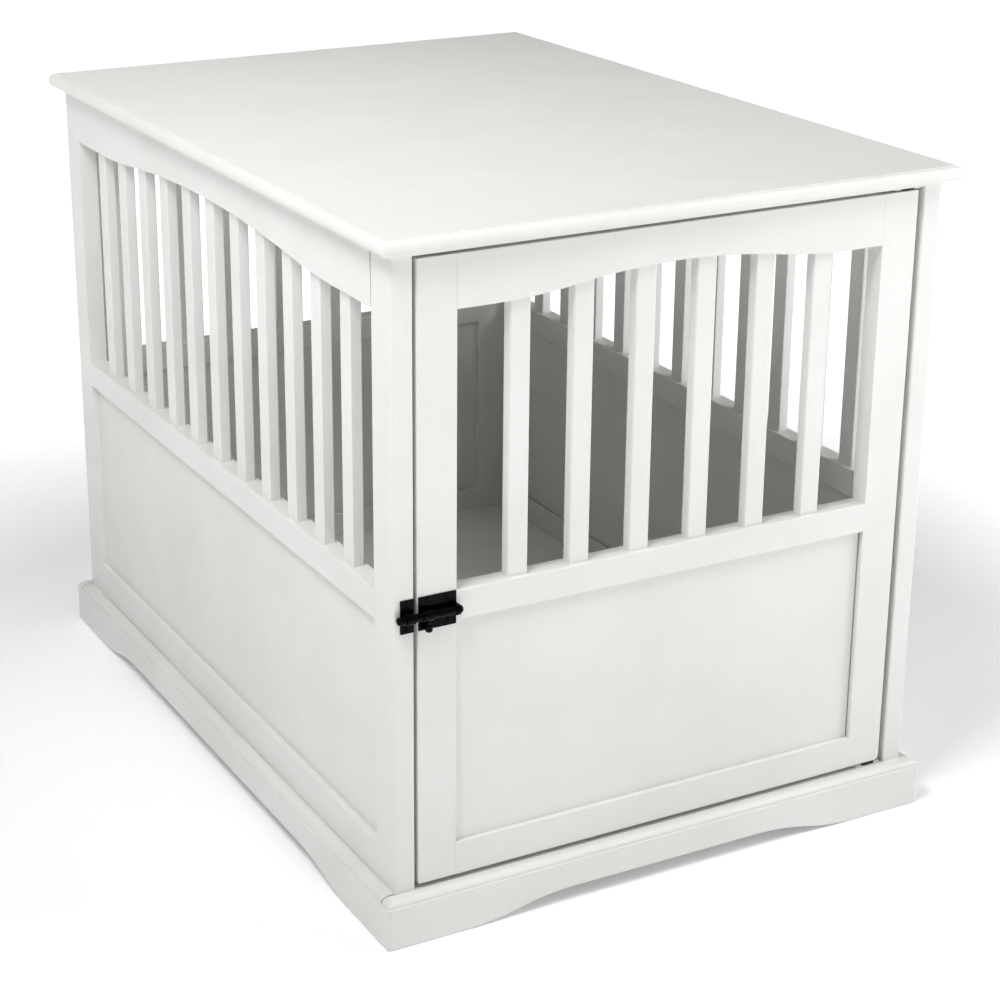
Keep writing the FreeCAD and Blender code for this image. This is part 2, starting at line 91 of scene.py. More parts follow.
def share(name, description, value):
    """A number between nought and one."""
    return FloatProperty(name=name, description=description, default=value, min=0.0, max=1.0,
                         subtype="FACTOR")


def paint_hex(name, description, code):
    """An sRGB hex colour, kept as text so that it reads as on a paint card."""
    return StringProperty(name=name, description=description, default=code)


class CRATE_PG_timber(bpy.types.PropertyGroup):
    """Sizes of the sanded timber."""
    post_ease: length("Post edge", "Radius sanded on the outer edges of posts and of the door", 2.0)
    joint_ease: length("Joint edge", "Radius on the edges of posts and stiles that rails butt against", 0.25)
    rail_ease: length("Rail edge", "Radius sanded on the edges of rails", 1.2)
    slat_ease: length("Slat edge", "Radius sanded on the edges of slats", 1.3)
    panel_ease: length("Panel edge", "Radius on the edges of the flat panels", 0.5)
    top_corner: length("Top corner", "Radius of the table top's corners in plan", 5.0)
    plinth_corner: length("Plinth corner", "Radius of the plinth's corners in plan", 4.5)
    plinth_joint: length("Plinth joint", "Open joint between the mouldings of a cross board and a side board",
                         1.8)
    door_corner: length("Door corner", "Radius of the door's lower corner over the pivot", 5.0)
    shrinkage: length("Rail shrinkage", "Open joint where the left top rail meets the front post", 2.6)
    panel_gap: length("Panel gap", "Open joint beside the door panel on its hinge side", 1.8)
    panel_slot: length("Panel slot", "Open groove behind a panel, along its bottom rail", 2.4)


class CRATE_PG_finish(bpy.types.PropertyGroup):
    """Colours and sheen."""
    enamel: paint_hex("Enamel", "White satin enamel on the solid timber", "#E2E2E0")
    enamel_low: paint_hex("Enamel, thin coat", "The same paint where the coat is thinner", "#DBDBD8")
    board: paint_hex("Board paint", "White satin paint on fibreboard", "#E1E1DE")
    board_low: paint_hex("Board paint, thin coat", "The same paint where the coat is thinner", "#DADAD6")
    steel: paint_hex("Powder coat", "Black coating of the bolt", "#030303")
    enamel_roughness: share("Enamel roughness", "Roughness of the satin enamel", 0.42)
    steel_roughness: share("Powder coat roughness", "Roughness of the black coating", 0.2)


class CRATE_PG_stage(bpy.types.PropertyGroup):
    """Camera, floor and lights."""
    camera_place: FloatVectorProperty(name="Camera place", description="Where the camera stands",
                                      default=(-1.1315, -2.0949, 1.1743), subtype="XYZ", unit="LENGTH")
    camera_heading: FloatProperty(name="Heading", description="Turn to the right of straight ahead",
                                  default=math.radians(27.767), subtype="ANGLE", unit="ROTATION")
    camera_dip: FloatProperty(name="Dip", description="Tilt below the horizon",
                              default=math.radians(19.716), subtype="ANGLE", unit="ROTATION")
    lens: FloatProperty(name="Lens", description="Focal length in millimetres", default=81.96, min=10.0)
    shift: share("Shift", "Sideways and downward shift of the frame", 0.06)
    floor_colour: paint_hex("Floor", "Pale studio floor", "#FBFBFB")
    floor_glow: share("Floor glow", "Light of its own that keeps the far floor pale", 0.9)
    right_box: FloatProperty(name="Right light", description="Power of the soft box in front on the right",
                             default=15.5, min=0.0)
    left_box: FloatProperty(name="Left light", description="Power of the soft box in front on the left",
                            default=28.0, min=0.0)
    low_box: FloatProperty(name="Low right light", description="Power of the soft box low on the right",
                           default=16.0, min=0.0)
    crown: FloatProperty(name="Overhead light", description="Power of the light over the top", default=6.0,
                         min=0.0)
    sky: FloatProperty(name="Room light", description="Strength of the even light all round", default=0.12,
                       min=0.0)


# ---------------------------------------------------------------- places
def box(node):
    """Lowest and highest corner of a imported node, in millimetres."""
    low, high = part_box(node)
    return np.array(low) / MM, np.array(high) / MM


TOP_LOW, TOP_HIGH = box("top_panel")
UNDERSIDE = TOP_LOW[2]
ARCH_SPRING = UNDERSIDE - TOP_RAIL_HEIGHT


class Stand:
    """A frame's flat system, turned by quarter turns: u along it, v inwards from its outer face, z up."""

    def __init__(self, turns, x, y):
        angle = turns * math.pi / 2
        self.turn = np.round(np.array([[math.cos(angle), -math.sin(angle)],
                                       [math.sin(angle), math.cos(angle)]]))
        self.origin = np.array([x, y])

    def __call__(self, points):
        """World places of (u, v, z) points."""
        placed = points.copy()
        placed[..., :2] = points[..., :2] @ self.turn.T + self.origin
        return placed

    def limits(self, node):
        """(u0, u1, v0, v1, z0, z1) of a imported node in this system."""
        low, high = box(node)
        corners = (np.array([low[:2], high[:2]]) - self.origin) @ self.turn
        (u0, v0), (u1, v1) = corners.min(0), corners.max(0)
        return u0, u1, v0, v1, low[2], high[2]


# ---------------------------------------------------------------- surfaces
def outline(corners, insets, radii, steps=4, support=0.5):
    """A closed outline with each side moved inwards by its own inset, and its sharp corners rounded.

    A corner between sides with inward normals n1, n2 and insets a, b goes to the crossing of the moved
    sides, at ((a - bc) n1 + (b - ac) n2) / (1 - cc) with c = n1.n2, or along the mean normal where the two
    are nearly in line. A corner that turns by more than 25 degrees becomes an arc whose radius shrinks by
    the inset (grows, in a hollow corner), with a point just before and after it that keeps flats flat.
    """
    into = corners - np.roll(corners, 1, 0)
    into /= np.linalg.norm(into, axis=1)[:, None]
    away = np.roll(into, -1, 0)
    n1 = np.stack([-into[:, 1], into[:, 0]], 1)
    n2 = np.stack([-away[:, 1], away[:, 0]], 1)
    a, b = np.roll(insets, 1), insets
    cosine = (n1 * n2).sum(1)
    sharp = cosine < math.cos(SHARP_CORNER)
    sweep = np.arctan2(into[:, 0] * away[:, 1] - into[:, 1] * away[:, 0], (into * away).sum(1))
    bulge = np.where(sweep < 0, -1.0, 1.0)
    r = np.maximum(radii - bulge * np.maximum(a, b), LEAST_RADIUS)

    def moved(p, q):
        """The corners after their sides have moved inwards by p and q."""
        square = np.where(sharp, 1 - cosine ** 2, 1.0)
        turn = ((p - q * cosine) / square)[:, None] * n1 + ((q - p * cosine) / square)[:, None] * n2
        slide = (0.5 * (p + q) / (1 + cosine))[:, None] * (n1 + n2)
        return corners + np.where(sharp[:, None], turn, slide)

    centre = moved(a + bulge * r, b + bulge * r)
    angle = np.arctan2(n1[:, 1], n1[:, 0])[:, None] + sweep[:, None] * np.linspace(0, 1, steps + 1)
    arc = centre[:, None] - (bulge * r)[:, None, None] * np.stack([np.cos(angle), np.sin(angle)], 2)
    before = arc[:, :1] - support * into[:, None]
    after = arc[:, -1:] + support * away[:, None]
    points = np.concatenate([before, arc, after], 1)
    points[~sharp, 0] = moved(a, b)[~sharp]
    keep = np.ones(points.shape[:2], bool)
    keep[~sharp, 1:] = False
    return points[keep]


def eased_rings(thickness, ease, steps=4, support=0.5):
    """Insets and depths of the rings that carry an outline through a board with quarter-round edges."""
    t = np.linspace(0, math.pi / 2, steps + 1)
    inset = np.concatenate([[ease + support], ease * (1 - np.sin(t)), [0.0]])
    depth = np.concatenate([[0.0], ease * (1 - np.cos(t)), [ease + support]])
    return np.concatenate([inset, inset[::-1]]), np.concatenate([depth, (thickness - depth)[::-1]])


def tube(rings):
    """Closed rings joined in order, with a flat face at both ends: (points, quads, end faces)."""
    count, points = rings.shape[:2]
    k, i = np.meshgrid(np.arange(count - 1), np.arange(points), indexing="ij")
    j = (i + 1) % points
    quads = np.stack([k * points + i, (k + 1) * points + i, (k + 1) * points + j, k * points + j], 2)
    last = (count - 1) * points
    ends = [list(range(points)), list(range(last + points - 1, last - 1, -1))]
    return rings.reshape(-1, 3), quads.reshape(-1, 4), ends


def hoop(rings):
    """Closed rings joined in order, the last one to the first: (points, quads, no end faces)."""
    points, quads, _ = tube(np.concatenate([rings, rings[:1]]))
    count = rings.shape[0] * rings.shape[1]
    return points[:count], quads % count, []


def board(corners, v0, v1, ease, sides=None, radii=None, steps=4, support=0.5):
    """A board whose face is an outline in (u, z), between two depths, with quarter-round edges.

    sides gives the share of the rounding that each side gets, and radii the corners' radii in the face, which
    without a word are somewhat larger than that of the edges.
    """
    insets, depths = eased_rings(v1 - v0, ease, steps, support)
    share_of = np.ones(len(corners)) if sides is None else np.asarray(sides, float)
    round_by = np.full(len(corners), 1.6 * ease + 0.6) if radii is None else np.asarray(radii, float)
    flat = np.array([outline(corners, inset * share_of, round_by, steps, support) for inset in insets])
    depth = np.broadcast_to((v0 + depths)[:, None], flat.shape[:2])
    return tube(np.stack([flat[..., 0], depth, flat[..., 1]], 2))


def carried(corners, start, end, radii, way, steps=4):
    """A straight bar: its section, with a radius at each corner, carried from start to end.

    way is the place of the length in (u, v, z): 2 for an upright bar with its section in (u, v), and 0 for
    a level one with its section in (v, z).
    """
    section = outline(corners, np.zeros(len(corners)), np.asarray(radii, float), steps)
    return tube(np.stack([np.insert(section, way, place, axis=1) for place in (start, end)]))


def bar(a, b, start, end, radii, way, steps=4):
    """A carried bar of rectangular section, from a[0] to a[1] one way and from b[0] to b[1] the other."""
    return carried(rectangle(*a, *b), start, end, radii, way, steps)


def rectangle(u0, u1, z0, z1):
    """Corners of a rectangle, anticlockwise as seen from the front."""
    return np.array([[u0, z0], [u1, z0], [u1, z1], [u0, z1]], float)


def turned(profile, steps=32):
    """Surface of revolution: each (distance along the axis, radius) pair goes to (a, r cos t, r sin t)."""
    t = np.linspace(0, 2 * math.pi, steps, endpoint=False)
    a = np.broadcast_to(profile[:, :1], (len(profile), steps))
    r = profile[:, 1:]
    return tube(np.stack([a, r * np.cos(t), r * np.sin(t)], 2))


def collar(section, steps=32):
    """A ring round the axis: its closed (a, r) section swept round."""
    t = np.linspace(0, 2 * math.pi, steps, endpoint=False)[:, None]
    a = np.broadcast_to(section[:, 0], (steps, len(section)))
    return hoop(np.stack([a, section[:, 1] * np.cos(t), section[:, 1] * np.sin(t)], 2))


def round_end(place, way, radius, ease, steps=6, support=0.2):
    """Half of a lathe profile: a flat end with a quarter round of radius ease; way is 1 for the low end."""
    t = np.linspace(0, math.pi / 2, steps + 1)
    a = place + way * np.concatenate([[0.0], ease * (1 - np.cos(t)), [ease + support]])
    flat = max(radius - ease - support, NEAR_AXIS)
    r = np.concatenate([[flat], radius - ease * (1 - np.sin(t)), [radius]])
    half = np.stack([a, r], 1)
    return half if way > 0 else half[::-1]


def s_curve(distance, run, rise, turn):
    """Height of two arcs, level at both ends, that meet at the share turn of the run.

    Both arcs turn by the same angle a, where tan(a/2) = rise/run, and their radii add up to run/sin(a).
    """
    half = math.atan2(rise, run)
    total = run / math.sin(2 * half)
    d = np.clip(distance, 0, run)
    r1, r2 = turn * total, (1 - turn) * total
    low = r1 - np.sqrt(np.maximum(r1 * r1 - d * d, 0))
    high = rise - (r2 - np.sqrt(np.maximum(r2 * r2 - (run - d) ** 2, 0)))
    return np.where(d <= turn * run, low, high)


def arch_height(u, clear, arch):
    """Height of a top rail's arched lower edge at u, for the clear width between its stiles."""
    run = clear / 2 - arch["flat"]
    return ARCH_SPRING + s_curve(run - np.abs(u), run, arch["rise"], arch["turn"])


def slat_middles(clear, count):
    """Middles of equally spaced slats between two stiles."""
    return clear * (np.arange(1, count + 1) / (count + 1) - 0.5)


# ---------------------------------------------------------------- pieces
def outward(points, quads, ends):
    """The same faces as lists, turned round if the volume that they enclose comes out negative."""
    fans = [quads[:, [0, 1, 2]], quads[:, [0, 2, 3]]]
    for face in ends:
        fans.append(np.array([(face[0], face[i], face[i + 1]) for i in range(1, len(face) - 1)]))
    tri = np.concatenate(fans)
    a, b, c = points[tri[:, 0]], points[tri[:, 1]], points[tri[:, 2]]
    faces = quads.tolist() + ends
    return faces if (a * np.cross(b, c)).sum() > 0 else [face[::-1] for face in faces]


def piece(name, solids, body, finish, node=None):
    """One object from closed solids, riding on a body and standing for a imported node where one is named."""
    points, faces, start = [], [], 0
    for p, quads, ends in solids:
        points.append(p)
        faces += [[i + start for i in face] for face in outward(p, quads, ends)]
        start += len(p)
    mesh = bpy.data.meshes.new(name)
    mesh.from_pydata((np.concatenate(points) * MM).tolist(), [], faces)
    mesh.shade_smooth()
    mesh.set_sharp_from_angle(angle=CREASE)
    mesh.update()
    made = bpy.data.objects.new(name, mesh)
    bpy.context.scene.collection.objects.link(made)
    made.data.materials.append(bpy.data.materials[finish])
    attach(made, body)
    if node:
        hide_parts(*([node] if isinstance(node, str) else node))


def stand_up(solid, stand):
    """A solid of the flat system, in the world."""
    return stand(solid[0]), *solid[1:]


def placed(solid, order, signs, origin):
    """A solid with its axes in another order and sense, moved to an origin."""
    return solid[0][:, order] * np.array(signs) + np.array(origin), *solid[1:]


def refinish(nodes, finish):
    """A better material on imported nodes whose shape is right."""
    for node in nodes:
        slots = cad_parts[node].data.materials
        slots.clear()
        slots.append(bpy.data.materials[finish])


def grain_of(word, side):
    """Name of the enamel whose grain runs along a piece; side is true where the frame runs front to back."""
    if word in ("stile", "slats"):
        return "satin_enamel_on_pine_upright"
    return "satin_enamel_on_pine_deep" if side else "satin_enamel_on_pine_wide"


def slatted_frame(prefix, stiles, stand, body, count, arch, timber, side):
    """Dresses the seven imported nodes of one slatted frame; stiles names the one at low u first."""
    rails = ("top_rail", "mid_rail", "bottom_rail")
    lim = {name: stand.limits(f"{prefix}_{name}") for name in (*stiles, *rails)}
    inner = min(abs(lim[stiles[0]][0]), abs(lim[stiles[0]][1]))
    clear = 2 * inner
    top = lim["top_rail"][5]
    thick = lim[stiles[0]][3]
    ease, joint, post = timber.rail_ease / MM, timber.joint_ease / MM, timber.post_ease / MM
    finish = grain_of("rail", side)

    def dress(node, ending, solids, finish):
        """Stands solids of this frame in the place of one of its nodes."""
        piece(f"{prefix}_{node}_{ending}", [stand_up(solid, stand) for solid in solids], body, finish,
              f"{prefix}_{node}")

    for name, way in zip(stiles, (-1, 1)):
        u0, u1, v0, v1, z0, z1 = lim[name]
        if prefix == "door":
            # The head and the long edge beside the rails keep a small share of the rounding.
            kept, foot, pivot_foot, head, hidden = 0.12, 2.2, timber.door_corner / MM, 1.6, 1.0
            shares = (1, kept, kept, 1) if way < 0 else (1, 1, kept, kept)
            radii = (foot, hidden, hidden, head) if way < 0 else (hidden, pivot_foot, head, hidden)
            solid = board(rectangle(u0, u1, z0, z1), v0, v1, 0.75 * post, shares, radii)
        elif prefix == "back":
            solid = bar((u0, u1), (v0, v1), z0, z1, (joint,) * 4, 2)
        else:
            radii = (post, joint, joint, ease) if way < 0 else (joint, post, ease, joint)
            solid = bar((u0, u1), (v0, v1), z0, z1, radii, 2)
        dress(name, "sanded", [solid], grain_of("stile", side))

    # The arched rail; on the left it has shrunk away from the front post, most of all at its top.
    run = np.linspace(-1, 1, 97) * (inner - arch["flat"])
    under = np.stack([run, arch_height(run, clear, arch)], 1)
    gap = timber.shrinkage / MM if prefix == "left" else 0.0
    corners = np.concatenate([[[-inner, ARCH_SPRING]], under, [[inner - 0.35 * gap, ARCH_SPRING],
                                                               [inner - gap, top], [-inner, top]]])
    shares = np.ones(len(corners))
    shares[-3:] = 0, 0.5, 0
    rail = board(corners, 0, thick, ease, shares, np.full(len(corners), LEAST_RADIUS))
    reach, shoulder, tongue_v = 6.5, 6.0, (7, 16)
    tongue = board(rectangle(-inner - reach, inner + reach - 4 * gap, ARCH_SPRING + arch["rise"] + shoulder,
                             top - shoulder), *tongue_v, 0.3, steps=1)
    dress("top_rail", "arched", [rail, tongue], finish)

    z0, z1 = lim["mid_rail"][4:]
    dress("mid_rail", "sanded", [bar((0, thick), (z0, z1), -inner, inner, (ease,) * 4, 0)], finish)

    # The bottom rail, with the groove that holds the panel left open behind it.
    z0, z1 = lim["bottom_rail"][4:]
    panel_back = stand.limits(f"{prefix}_panel")[3]
    slot, held, bottom = panel_back + timber.panel_slot / MM, panel_back - 1, z1 - 7
    section = np.array([[0, z0], [thick, z0], [thick, z1], [slot, z1], [slot, bottom], [held, bottom],
                        [held, z1], [0, z1]])
    solid = carried(section, -inner, inner, (ease, ease, ease, 0.4, 0.3, 0.3, 0.3, 0.6 * ease), 0)
    dress("bottom_rail", "sanded", [solid], finish)

    _, _, v0, v1, foot, _ = stand.limits(f"{prefix}_slats")
    solids = []
    for u in slat_middles(clear, count):
        edges = np.array([u - SLAT_WIDTH / 2, u + SLAT_WIDTH / 2])
        head = arch_height(edges, clear, arch).min() + SLAT_SEAT
        solids.append(bar(edges, (v0, v1), foot, head, (timber.slat_ease / MM,) * 4, 2, 3))
    dress("slats", "sanded", solids, grain_of("slats", side))

    u0, u1, v0, v1, z0, z1 = stand.limits(f"{prefix}_panel")
    if prefix == "door":
        u1 = inner - timber.panel_gap / MM
    solid = board(rectangle(u0, u1, z0, z1), v0, v1, timber.panel_ease / MM, steps=2)
    dress("panel", "painted", [solid], "satin_paint_on_fibreboard")


# ---------------------------------------------------------------- materials
def linear(code):
    """Linear RGBA of an sRGB hex colour."""
    srgb = np.array([int(code[i:i + 2], 16) for i in (1, 3, 5)]) / 255
    rgb = np.where(srgb <= 0.04045, srgb / 12.92, ((srgb + 0.055) / 1.055) ** 2.4)
    return (*rgb.tolist(), 1.0)


def add(tree, kind, inputs=None, **settings):
    """Adds a node; inputs map a socket to a value, or to an output socket to link from."""
    made = tree.nodes.new(kind)
    for key, value in settings.items():
        setattr(made, key, value)
    for key, value in (inputs or {}).items():
        if isinstance(value, bpy.types.NodeSocket):
            tree.links.new(value, made.inputs[key])
        else:
            made.inputs[key].default_value = value
    return made


def new_material(name, **uniform):
    """A material with nothing but its shader: (tree, shader); uniform values go on the shader's sockets."""
    material = bpy.data.materials.new(name)
    material.use_nodes = True
    tree = material.node_tree
    tree.nodes.clear()
    shader = add(tree, "ShaderNodeBsdfPrincipled", uniform)
    add(tree, "ShaderNodeOutputMaterial", {"Surface": shader.outputs[0]})
    return tree, shader


def band(tree, source, low, high, dark, light):
    """Maps a noise or a distance between two levels onto two values, which it keeps beyond them."""
    return add(tree, "ShaderNodeMapRange", {"Value": source, "From Min": low, "From Max": high,
                                            "To Min": dark, "To Max": light})


def painted(name, colour, colour_low, roughness, grain_axis, grain_depth, peel_depth, bare=None):
    """Satin enamel with a faint orange peel, and the grain below just showing.

    grain_axis is the axis that the fibres run along, or None on fibreboard, which has no grain. bare is the
    x and y of an upright axis and a radius about it, inside which the black of the steel shows.
    """
    tree, shader = new_material(name, **{"IOR": 1.5, "Coat Weight": 0.12, "Coat Roughness": 0.25})
    place = add(tree, "ShaderNodeTexCoord").outputs["Object"]
    # cloudy difference in the thickness of the coat, about 120 mm across
    cloud = add(tree, "ShaderNodeTexNoise", {"Vector": place, "Scale": 1 / 0.120, "Detail": 3.0})
    # droplets of the sprayed coat, about 2.5 mm across, drawn a little coarse so that they show
    peel = add(tree, "ShaderNodeTexNoise", {"Vector": place, "Scale": 1 / 0.0025, "Detail": 2.0})
    # fibres 1.4 mm across and some 45 mm long
    stretch = [1 / 0.0014] * 3
    if grain_axis is not None:
        stretch[grain_axis] = 1 / 0.045
    along = add(tree, "ShaderNodeMapping", {"Vector": place, "Scale": stretch})
    fibre = add(tree, "ShaderNodeTexNoise", {"Vector": along.outputs[0], "Scale": 1.0, "Detail": 3.0,
                                             "Roughness": 0.6})
    tone = band(tree, cloud.outputs["Fac"], 0.35, 0.65, 0.0, 0.7)
    streak = band(tree, fibre.outputs["Fac"], 0.35, 0.7, 0.0, 0.3)
    mix_share = add(tree, "ShaderNodeMath", {0: tone.outputs[0], 1: streak.outputs[0]}, operation="ADD")
    mixed = add(tree, "ShaderNodeMix", {"Factor": mix_share.outputs[0], "A": linear(colour),
                                        "B": linear(colour_low)}, data_type="RGBA")
    if bare:
        flat = add(tree, "ShaderNodeVectorMath", {0: place, 1: (1.0, 1.0, 0.0)}, operation="MULTIPLY")
        off = add(tree, "ShaderNodeVectorMath", {0: flat.outputs[0], 1: (*bare[:2], 0.0)},
                  operation="DISTANCE")
        brushed_edge = 0.0004
        cover = band(tree, off.outputs["Value"], bare[2] - brushed_edge, bare[2], 0.0, 1.0)
        mixed = add(tree, "ShaderNodeMix", {"Factor": cover.outputs[0], "A": linear(BARE_STEEL),
                                            "B": mixed.outputs["Result"]}, data_type="RGBA")
    tree.links.new(mixed.outputs["Result"], shader.inputs["Base Color"])
    sheen = band(tree, cloud.outputs["Fac"], 0.3, 0.7, roughness - 0.04, roughness + 0.05)
    tree.links.new(sheen.outputs[0], shader.inputs["Roughness"])
    rough = add(tree, "ShaderNodeBump", {"Height": peel.outputs["Fac"], "Strength": 0.5,
                                         "Distance": peel_depth})
    final = add(tree, "ShaderNodeBump", {"Height": fibre.outputs["Fac"], "Strength": 0.5,
                                         "Distance": grain_depth, "Normal": rough.outputs[0]})
    tree.links.new(final.outputs[0], shader.inputs["Normal"])


def make_materials(finish):
    """Paints and coatings of the crate, each named for what it is."""
    # Satin enamel sprayed on pine: bright, soft highlights on the sanded edges, fibres just showing.
    for word, axis in (("wide", 0), ("deep", 1), ("upright", 2)):
        painted(f"satin_enamel_on_pine_{word}", finish.enamel, finish.enamel_low, finish.enamel_roughness,
                axis, 0.00006, 0.00005)
    # The same paint on fibreboard: no grain, a little more orange peel.
    painted("satin_paint_on_fibreboard", finish.board, finish.board_low, finish.enamel_roughness + 0.03,
            None, 0.00002, 0.00007)
    # The same enamel brushed over the steel pivots: smooth, no grain, and left black round the pin.
    washer_low, washer_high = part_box("pivot_washer")
    bare_radius = 0.011
    bare = ((washer_low[0] + washer_high[0]) / 2, (washer_low[1] + washer_high[1]) / 2, bare_radius)
    painted("satin_enamel_on_steel", finish.enamel, finish.enamel_low, finish.enamel_roughness - 0.05,
            None, 0.00001, 0.00003, bare)

    # Powder-coated steel: baked black resin, pebbled at 0.6 mm, half-gloss, rubbed a shade paler in places.
    tree, shader = new_material("black_powder_coated_steel", **{"IOR": 1.5, "Specular IOR Level": 0.07})
    place = add(tree, "ShaderNodeTexCoord").outputs["Object"]
    pebble = add(tree, "ShaderNodeTexNoise", {"Vector": place, "Scale": 1 / 0.0006, "Detail": 2.0})
    wear = add(tree, "ShaderNodeTexNoise", {"Vector": place, "Scale": 1 / 0.004, "Detail": 4.0})
    base = linear(finish.steel)
    rubbed = tuple(2.2 * c for c in base[:3]) + (1.0,)
    worn = band(tree, wear.outputs["Fac"], 0.5, 0.75, 0.0, 1.0)
    mixed = add(tree, "ShaderNodeMix", {"Factor": worn.outputs[0], "A": base, "B": rubbed}, data_type="RGBA")
    tree.links.new(mixed.outputs["Result"], shader.inputs["Base Color"])
    gloss = band(tree, wear.outputs["Fac"], 0.35, 0.7, finish.steel_roughness + 0.05,
                 finish.steel_roughness - 0.07)
    tree.links.new(gloss.outputs[0], shader.inputs["Roughness"])
    bump = add(tree, "ShaderNodeBump", {"Height": pebble.outputs["Fac"], "Strength": 0.4,
                                        "Distance": 0.00004})
    tree.links.new(bump.outputs[0], shader.inputs["Normal"])

    # Nylon: moulded, matt black, faintly mottled.
    tree, shader = new_material("moulded_black_nylon", **{"IOR": 1.53})
    place = add(tree, "ShaderNodeTexCoord").outputs["Object"]
    mottle = add(tree, "ShaderNodeTexNoise", {"Vector": place, "Scale": 1 / 0.0015, "Detail": 2.0})
    mixed = add(tree, "ShaderNodeMix", {"Factor": mottle.outputs["Fac"], "A": linear("#141415"),
                                        "B": linear("#1C1C1D")}, data_type="RGBA")
    tree.links.new(mixed.outputs["Result"], shader.inputs["Base Color"])
    sheen = band(tree, mottle.outputs["Fac"], 0.3, 0.7, 0.5, 0.6)
    tree.links.new(sheen.outputs[0], shader.inputs["Roughness"])

    # Beech: planed loose tenons, pinkish tan with short fine flecks along the fibres.
    tree, shader = new_material("planed_beech", **{"IOR": 1.5})
    place = add(tree, "ShaderNodeTexCoord").outputs["Object"]
    fleck_place = add(tree, "ShaderNodeMapping", {"Vector": place,
                                                  "Scale": (1 / 0.0006, 1 / 0.0006, 1 / 0.004)})
    fleck = add(tree, "ShaderNodeTexNoise", {"Vector": fleck_place.outputs[0], "Scale": 1.0, "Detail": 4.0})
    mixed = add(tree, "ShaderNodeMix", {"Factor": fleck.outputs["Fac"], "A": linear("#D9B48A"),
                                        "B": linear("#B98D60")}, data_type="RGBA")
    tree.links.new(mixed.outputs["Result"], shader.inputs["Base Color"])
    sheen = band(tree, fleck.outputs["Fac"], 0.3, 0.7, 0.55, 0.7)
    tree.links.new(sheen.outputs[0], shader.inputs["Roughness"])


# ---------------------------------------------------------------- operators
class CRATE_OT_materials(bpy.types.Operator):
    """Make the paints and coatings"""
    bl_idname = "crate.materials"
    bl_label = "Paints and coatings"

    def execute(self, context):
        make_materials(context.scene.crate_finish)
        return {"FINISHED"}


class CRATE_OT_table_top(bpy.types.Operator):
    """Table top with its moulded edge"""
    bl_idname = "crate.table_top"
    bl_label = "Table top"

    def execute(self, context):
        timber = context.scene.crate_timber
        low, high = TOP_LOW, TOP_HIGH
        thick = high[2] - low[2]
        # Profile as (inset, depth): the flat field, a fine rounded step, a nose of two elliptic quarters, and
        # under it a rebate in to the core, so that the edge looks thinner than the slab.
        t = np.linspace(0, 1, 9) * math.pi / 2
        step, inset = 0.8, 6.5
        across, down = 6.0, 6.5
        tuck, edge, core, soft = 4.0, 14.2, 14.2, 0.3
        field = np.array([[inset + 1.3, 0.0], [inset + 0.7, 0.0], [inset + 0.25, 0.12], [inset + 0.06, 0.4],
                          [inset, step]])
        upper = np.stack([across * (1 - np.sin(t)), step + down * (1 - np.cos(t))], 1)
        lower = np.stack([tuck * (1 - np.cos(t[1:])),
                          edge - (edge - step - down) * (1 - np.sin(t[1:]))], 1)
        under = np.array([[tuck + 2 * soft, edge], [core - soft, edge], [core, edge + soft],
                          [core, thick - soft], [core + soft, thick]])
        profile = np.concatenate([field, upper, lower, under])
        plan = rectangle(low[0], high[0], low[1], high[1])
        corner = np.full(4, timber.top_corner / MM)
        rings = np.array([outline(plan, np.full(4, a), corner, steps=14) for a in profile[:, 0]])
        z = np.broadcast_to((high[2] - profile[:, 1])[:, None], rings.shape[:2])
        solid = tube(np.stack([rings[..., 0], rings[..., 1], z], 2))
        piece("table_top_moulded", [solid], "frame", "satin_paint_on_fibreboard", "top_panel")
        return {"FINISHED"}


def plinth_section(height, out_to):
    """Section (v, z) of a plinth board from its lower outer edge up and over to v = out_to.

    A flat face, a narrow ledge, an upright bead line, a quarter-elliptic shoulder and a flat top.
    """
    ledge, bead, out, nosing, quirk_ease, soft = 1.8, 1.3, 9.8, 0.7, 0.2, 0.4
    face = PLINTH_FACE
    swing = np.linspace(0, 1, 10) * math.pi / 2
    nose = np.stack([nosing * (1 - np.cos(swing)), face - nosing + nosing * np.sin(swing)], 1)
    quirk = np.array([[ledge - quirk_ease, face], [ledge, face + quirk_ease], [ledge, face + bead]])
    rise = height - face - bead
    shoulder = np.stack([ledge + (out - ledge) * (1 - np.cos(swing)), face + bead + rise * np.sin(swing)], 1)
    rest = np.array([[out + 0.5, height], [out_to - soft, height], [out_to, height - soft]])
    return np.concatenate([nose, quirk, shoulder[1:], rest])


def plinth_lift(u, half):
    """Height of the lower edge at u: a foot at each end, and between them two S-curves and a straight."""
    return s_curve(half - PLINTH_FOOT - np.abs(u), PLINTH_CURVE, PLINTH_RISE, 0.5)


def plinth_stations(half, end):
    """Places along a board that ends at u = end, close together where its lower edge curves."""
    curve = np.linspace(0, 1, 33) * PLINTH_CURVE
    side = np.concatenate([[end], half - PLINTH_FOOT - curve])
    return np.concatenate([-side, [0.0], side[::-1]])


def plinth_rings(section, lift, depth, soft=0.5):
    """A closed (v, z) ring per station: the section, and an inner face at v = depth to the lower edge."""
    over = np.broadcast_to(section, (len(lift), *section.shape))
    start = np.stack([np.zeros_like(lift), lift + soft], 1)[:, None]
    inner = np.stack([np.full_like(lift, depth), lift], 1)[:, None]
    under = np.stack([np.full_like(lift, soft), lift], 1)[:, None]
    return np.concatenate([start, over, inner, under], 1)


def along(u, rings):
    """Closed (v, z) rings put at their places u, as (u, v, z) points."""
    return np.stack([np.broadcast_to(u[:, None], rings.shape[:2]), rings[..., 0], rings[..., 1]], 2)


